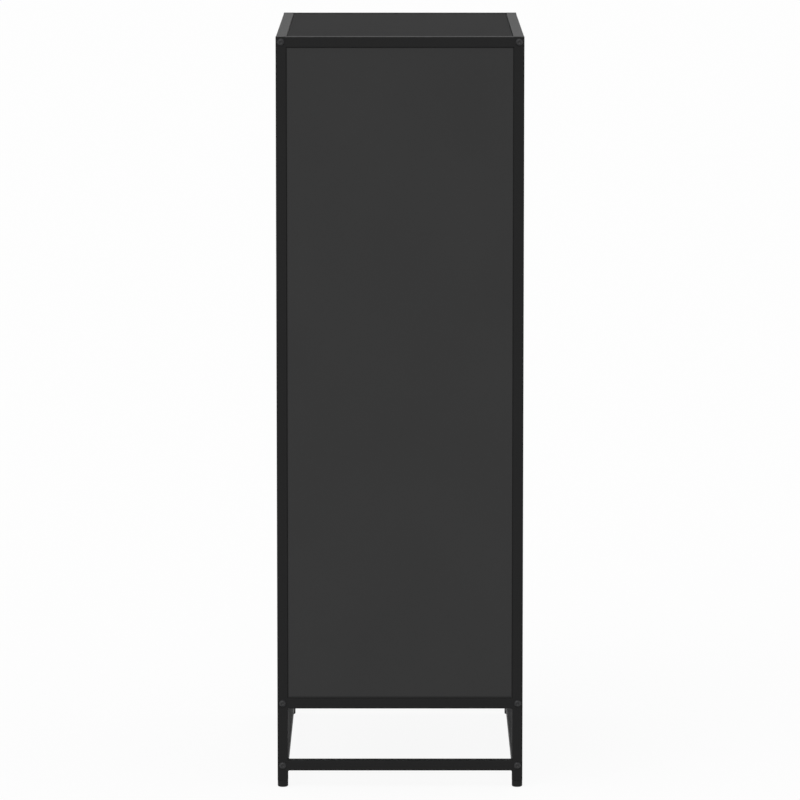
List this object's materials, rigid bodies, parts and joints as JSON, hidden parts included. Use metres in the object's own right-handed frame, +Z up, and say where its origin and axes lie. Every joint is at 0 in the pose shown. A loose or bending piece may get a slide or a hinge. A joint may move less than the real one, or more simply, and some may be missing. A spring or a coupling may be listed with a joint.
{
  "type": "showcase cabinet",
  "caption": "Tall glazed display cabinet: black square tube frame on feet, inset dark boards, shelves, and a pair of glass doors on pin hinges.",
  "frame": {"origin": "on the floor under the middle of the cabinet", "axes": "+Z up, -Y towards the front with the doors, +X towards the cabinet's right end as seen from the front"},
  "size_m": [0.5758, 0.35, 1.073],
  "materials": {
    "frame_metal": "satin black powder coat",
    "door_metal": "satin black powder coat",
    "knob_metal": "satin black lacquer",
    "black_steel": "semi-gloss black zinc",
    "zinc_steel": "bright zinc plate",
    "nickel_steel": "nickel plate",
    "washer_brass": "plain",
    "board": "matt black melamine on particle board",
    "hardboard": "matt black lacquer on hardboard",
    "cap_plastic": "fine moulded texture",
    "foot_plastic": "fine moulded texture",
    "catch_plastic": "moulded",
    "spacer_rubber": "matt",
    "gasket_rubber": "matt",
    "magnet": "nickel plated magnet face",
    "door_glass": "clear tempered glass, faint green edge"
  },
  "bodies": {
    "cabinet": {"left_front_post": "frame_metal", "left_rear_post": "frame_metal", "right_front_post": "frame_metal", "right_rear_post": "frame_metal", "left_top_rail": "frame_metal", "left_lower_rail": "frame_metal", "left_foot_rail": "frame_metal", "right_top_rail": "frame_metal", "right_lower_rail": "frame_metal", "right_foot_rail": "frame_metal", "front_top_rail": "frame_metal", "front_lower_rail": "frame_metal", "front_foot_rail": "frame_metal", "rear_top_rail": "frame_metal", "rear_lower_rail": "frame_metal", "rear_foot_rail": "frame_metal", "post_caps": "cap_plastic", "feet": "foot_plastic", "rail_nuts": "zinc_steel", "frame_bolts": "black_steel", "top_board": "board", "bottom_board": "board", "left_side_panel": "board", "right_side_panel": "board", "back_panel": "hardboard", "lower_shelf": "board", "upper_shelf": "board", "shelf_pins": "nickel_steel", "board_tabs": "frame_metal", "board_screws": "zinc_steel", "back_screws": "zinc_steel", "wall_brackets": "frame_metal", "wall_spacers": "spacer_rubber", "post_hinge_barrels": "frame_metal", "hinge_pins": "nickel_steel", "hinge_washers": "washer_brass", "catch_housings": "catch_plastic", "catch_magnets": "magnet", "catch_screws": "zinc_steel"},
    "left_door": {"left_door_hinge_stile": "door_metal", "left_door_meeting_stile": "door_metal", "left_door_top_rail": "door_metal", "left_door_bottom_rail": "door_metal", "left_door_glass": "door_glass", "left_door_gasket": "gasket_rubber", "left_door_knob": "knob_metal", "left_door_knob_screw": "zinc_steel", "left_door_strike_plates": "nickel_steel", "left_door_barrels": "frame_metal"},
    "right_door": {"right_door_hinge_stile": "door_metal", "right_door_meeting_stile": "door_metal", "right_door_top_rail": "door_metal", "right_door_bottom_rail": "door_metal", "right_door_glass": "door_glass", "right_door_gasket": "gasket_rubber", "right_door_knob": "knob_metal", "right_door_knob_screw": "zinc_steel", "right_door_strike_plates": "nickel_steel", "right_door_barrels": "frame_metal"}
  },
  "joints": [
    {"name": "left_door_hinge", "type": "hinge", "parent": "cabinet", "child": "left_door", "pos_m": [-0.2656, -0.1694, 0.5935], "axis": [0, 0, -1], "range_deg": [0, 160]},
    {"name": "right_door_hinge", "type": "hinge", "parent": "cabinet", "child": "right_door", "pos_m": [0.2656, -0.1694, 0.5935], "axis": [0, 0, 1], "range_deg": [0, 160]}
  ]
}
